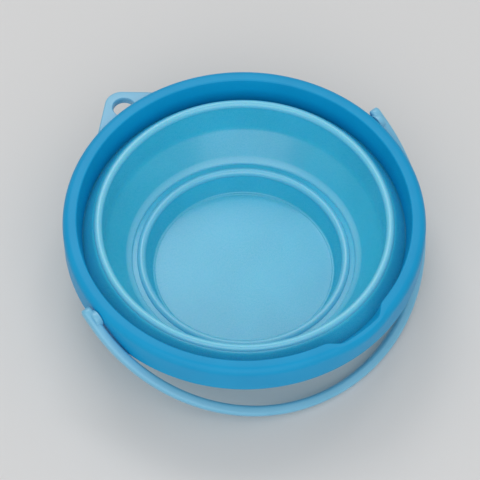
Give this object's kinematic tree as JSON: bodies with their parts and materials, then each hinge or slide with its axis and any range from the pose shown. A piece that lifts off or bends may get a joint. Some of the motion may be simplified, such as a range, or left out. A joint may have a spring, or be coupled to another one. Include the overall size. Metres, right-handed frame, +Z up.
{
  "type": "collapsible bucket",
  "caption": "Round bucket that folds flat in steps: rigid blue collar with pouring spout and hang tab, soft light blue wall, stiff base and swinging bail handle.",
  "frame": {"origin": "middle of the foot, on the table the bucket stands on", "axes": "+Z up out of the bucket's mouth, +X along the bail's pivots, +Y towards the hang tab, so -Y points to the spout and to the grip of the lowered bail"},
  "size_m": [0.3304, 0.3424, 0.092],
  "materials": {
    "collar_plastic": "satin moulded polypropylene, strong blue",
    "soft_wall": "soft matte thermoplastic elastomer, light blue",
    "pale_plastic": "satin moulded polypropylene, light blue"
  },
  "bodies": {
    "base": {"base_plate": "pale_plastic", "base_cup": "soft_wall", "lower_fold_web": "soft_wall"},
    "mid": {"middle_band": "soft_wall", "upper_fold_web": "soft_wall"},
    "rim": {"rim_collar": "collar_plastic", "wall_grip": "soft_wall", "hang_tab": "pale_plastic"},
    "bail": {"bail_handle": "pale_plastic"}
  },
  "joints": [
    {"name": "lower_fold", "type": "slide", "parent": "base", "child": "mid", "axis": [0, 0, 1], "range_m": [0, 0.0411], "deforming": ["lower_fold_web"]},
    {"name": "upper_fold", "type": "slide", "parent": "mid", "child": "rim", "axis": [0, 0, 1], "range_m": [0, 0.0291], "deforming": ["upper_fold_web"]},
    {"name": "bail_swing", "type": "hinge", "parent": "rim", "child": "bail", "pos_m": [0, 0.004, 0.082], "axis": [-1, 0, 0], "range_deg": [0, 207]}
  ]
}
